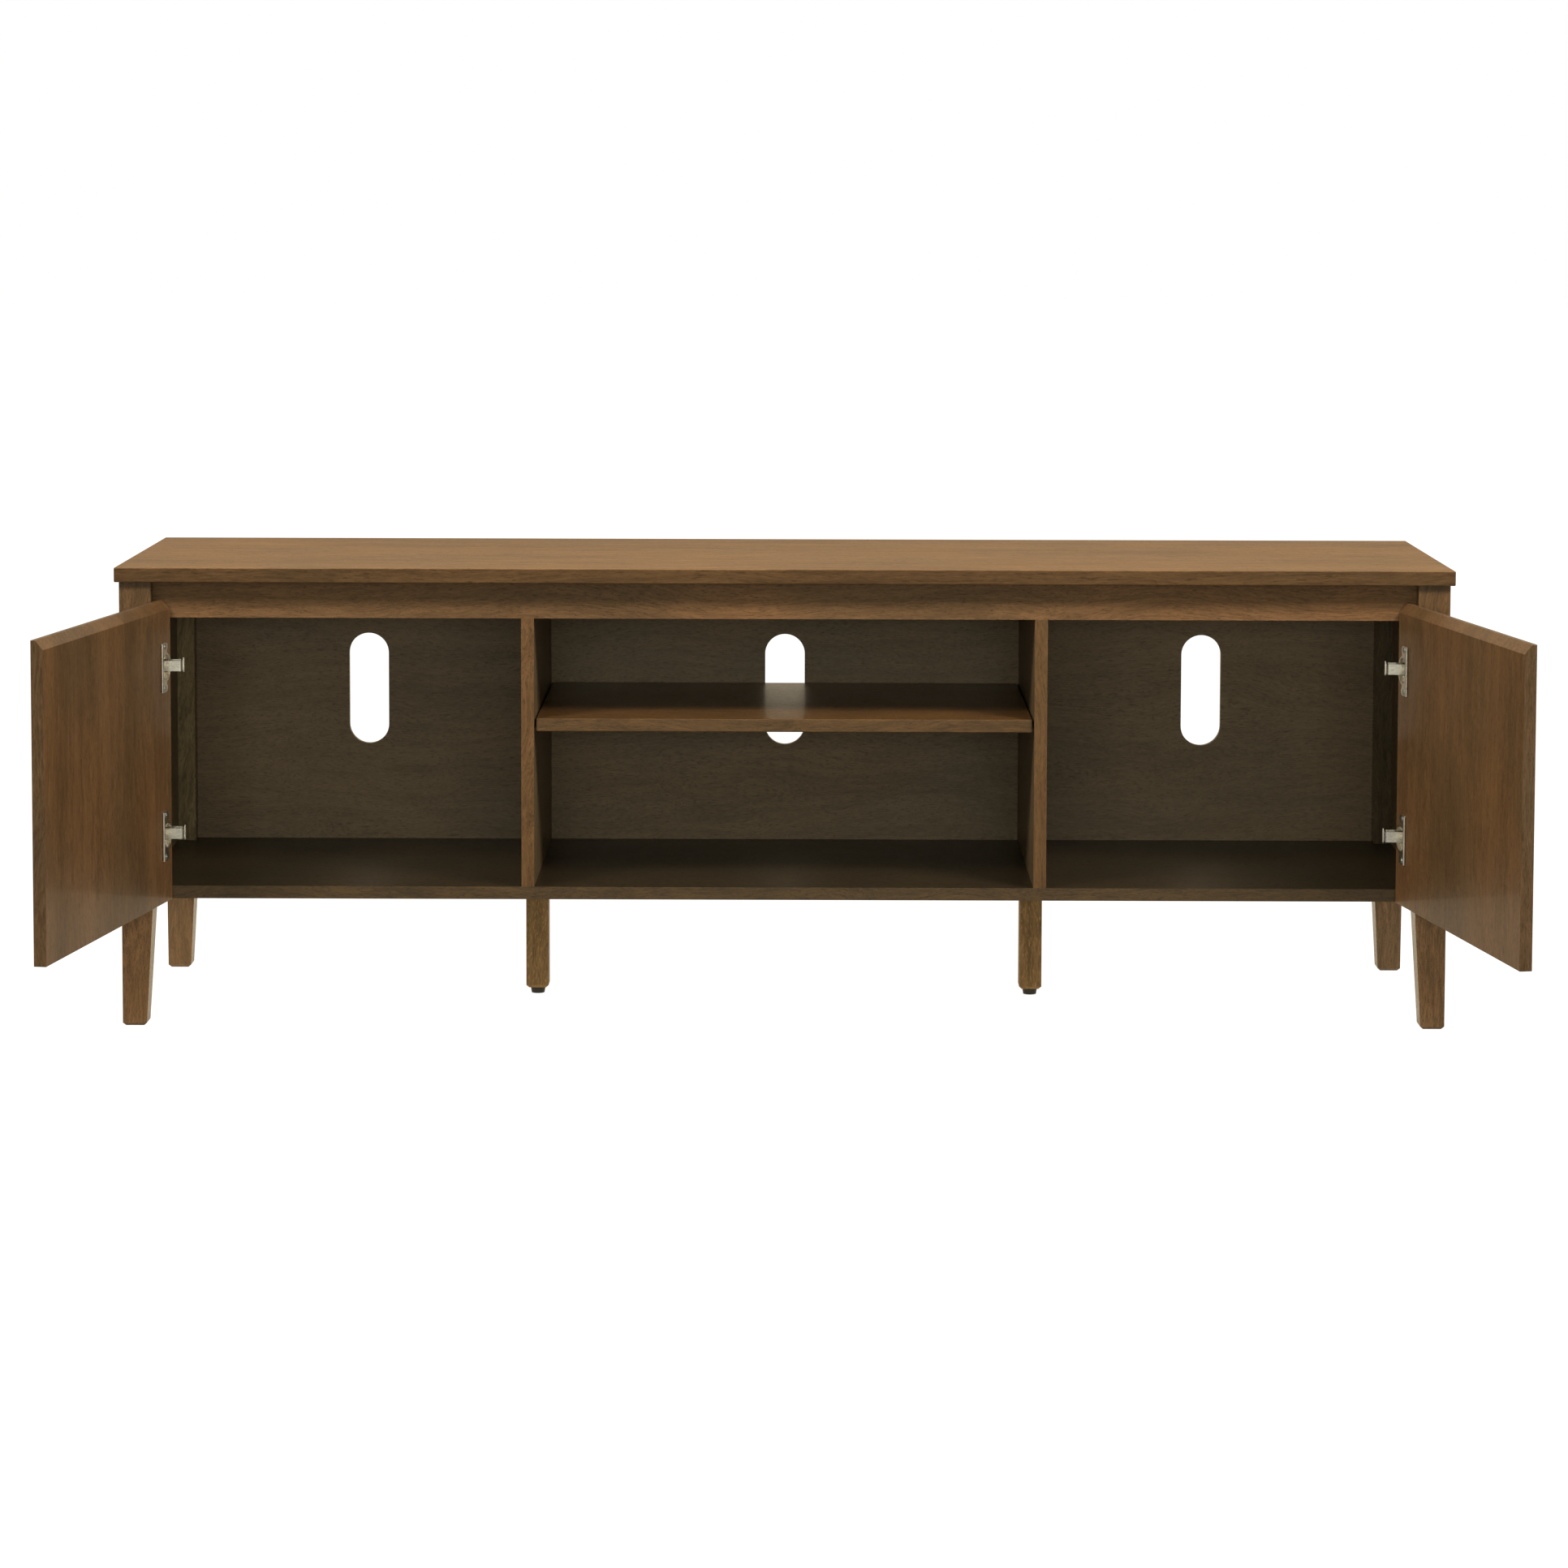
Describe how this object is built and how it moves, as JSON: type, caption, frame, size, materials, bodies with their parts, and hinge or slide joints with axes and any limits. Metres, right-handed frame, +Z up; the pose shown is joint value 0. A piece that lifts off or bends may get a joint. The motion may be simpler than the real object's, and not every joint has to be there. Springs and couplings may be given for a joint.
{
  "type": "media cabinet",
  "caption": "Low media cabinet: open middle bay with a shelf between door bays, inset slab doors on concealed hinges, tapered corner posts, middle legs and cable slots in the back",
  "frame": {"origin": "on the floor under the middle of the cabinet's box with both doors open as built", "axes": "+Z up, +Y towards the back, +X to the right as seen from the front"},
  "size_m": [1.8328, 0.942, 0.616],
  "materials": {
    "walnut": "satin lacquer over walnut stain",
    "walnut_ply": "satin lacquer over stained veneer",
    "beech": "raw",
    "nickel": "bright nickel plate",
    "zinc": "zinc plate",
    "black_plastic": "moulded"
  },
  "bodies": {
    "carcase": {"top_panel": "walnut", "front_rail": "walnut", "bottom_panel": "walnut", "shelf": "walnut", "back_panel": "walnut_ply", "front_post_left": "walnut", "rear_post_left": "walnut", "side_panel_left": "walnut", "divider_left": "walnut", "middle_leg_left": "walnut", "glide_left": "black_plastic", "front_post_right": "walnut", "rear_post_right": "walnut", "side_panel_right": "walnut", "divider_right": "walnut", "middle_leg_right": "walnut", "glide_right": "black_plastic", "lower_hinge_arm_left": "nickel", "lower_hinge_plate_left": "nickel", "upper_hinge_arm_left": "nickel", "upper_hinge_plate_left": "nickel", "lower_hinge_arm_right": "nickel", "lower_hinge_plate_right": "nickel", "upper_hinge_arm_right": "nickel", "upper_hinge_plate_right": "nickel", "rail_dowels": "beech", "side_panel_dowels": "beech", "bottom_panel_dowels": "beech", "top_dowels": "beech", "divider_screws": "zinc", "back_panel_screws": "zinc", "shelf_pins": "zinc", "middle_leg_bolts": "zinc", "hinge_plate_screws": "zinc", "hinge_clamp_screws": "zinc"},
    "left_door": {"door_left": "walnut", "cup_screws_left": "zinc", "lower_hinge_cup_left": "nickel", "lower_hinge_pin_left": "nickel", "upper_hinge_cup_left": "nickel", "upper_hinge_pin_left": "nickel"},
    "right_door": {"door_right": "walnut", "cup_screws_right": "zinc", "lower_hinge_cup_right": "nickel", "lower_hinge_pin_right": "nickel", "upper_hinge_cup_right": "nickel", "upper_hinge_pin_right": "nickel"}
  },
  "joints": [
    {"name": "left_door_swing", "type": "hinge", "parent": "carcase", "child": "left_door", "pos_m": [-0.8283, 0.01647, 0.371], "axis": [0, 0, 1], "range_deg": [0, 99.5]},
    {"name": "right_door_swing", "type": "hinge", "parent": "carcase", "child": "right_door", "pos_m": [0.8283, 0.01647, 0.371], "axis": [0, 0, -1], "range_deg": [0, 99.5]}
  ]
}
